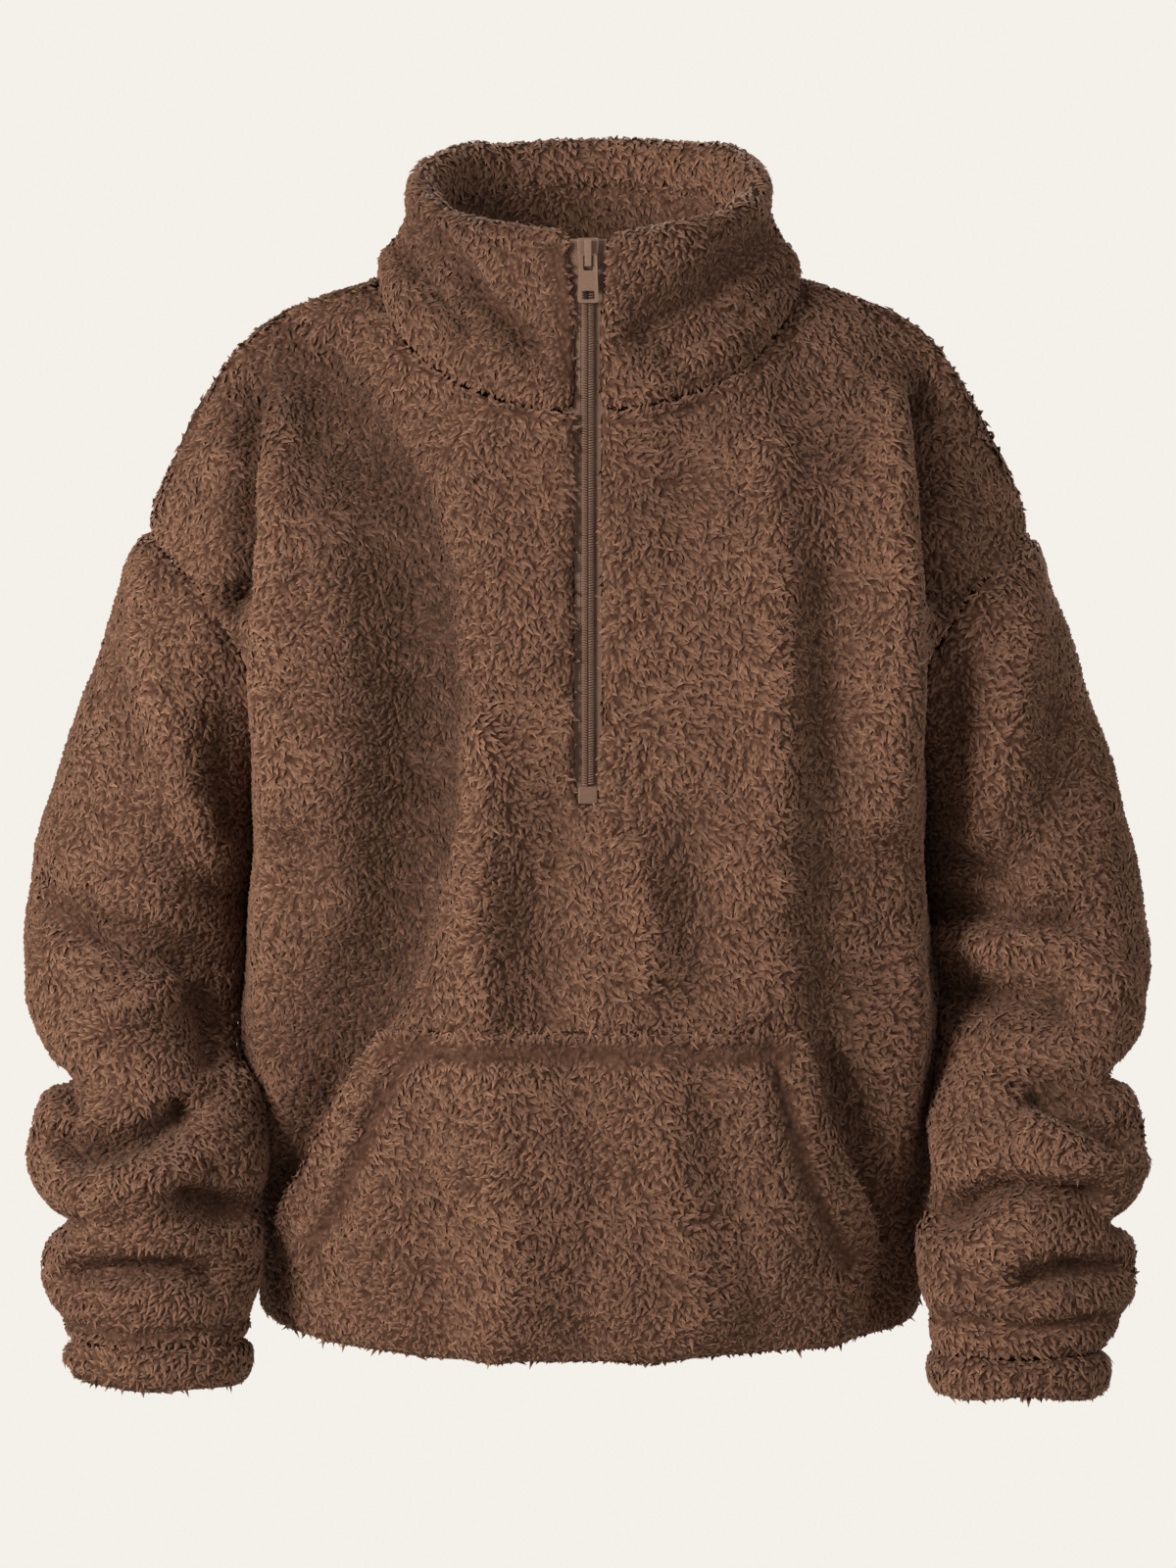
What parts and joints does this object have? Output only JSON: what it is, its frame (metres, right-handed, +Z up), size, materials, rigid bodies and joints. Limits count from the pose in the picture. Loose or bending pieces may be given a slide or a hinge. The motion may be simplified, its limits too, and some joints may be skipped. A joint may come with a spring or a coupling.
{
  "type": "half-zip sherpa fleece pullover",
  "caption": "Oversized half-zip pullover in brown sherpa fleece, with a tall stand collar, a kangaroo pocket and bunched long sleeves, filled out as if worn.",
  "frame": {"origin": "middle of the neck at the height where the shoulder seams meet the collar, where the wearer's shoulders hold it", "axes": "+X to the right of someone facing the front, -Y out of the front, +Z up"},
  "size_m": [0.64, 0.2453, 0.712],
  "materials": {
    "fleece": "curly sherpa pile with lighter tips",
    "fleece_inside": "curly sherpa pile, inside of the collar",
    "zip_tape": "woven tape",
    "zip_coil": "satin nylon",
    "zip_metal": "satin paint"
  },
  "bodies": {
    "garment": {"front": "fleece", "back": "fleece", "sleeve_right": "fleece", "sleeve_left": "fleece", "cuff_right": "fleece", "cuff_left": "fleece", "collar": "fleece", "collar_facing": "fleece_inside", "pocket": "fleece", "zip_tape_right": "zip_tape", "zip_tape_left": "zip_tape", "zip_coil_right": "zip_coil", "zip_coil_left": "zip_coil", "zip_slider": "zip_metal", "zip_stop": "zip_coil"},
    "pull_tab": {"zip_pull_tab": "zip_metal"}
  },
  "joints": [
    {"name": "pull_tab_swing", "type": "hinge", "parent": "garment", "child": "pull_tab", "pos_m": [0, -0.09531, 0.01226], "axis": [-1, 0, 0], "range_deg": [0, 160]}
  ]
}
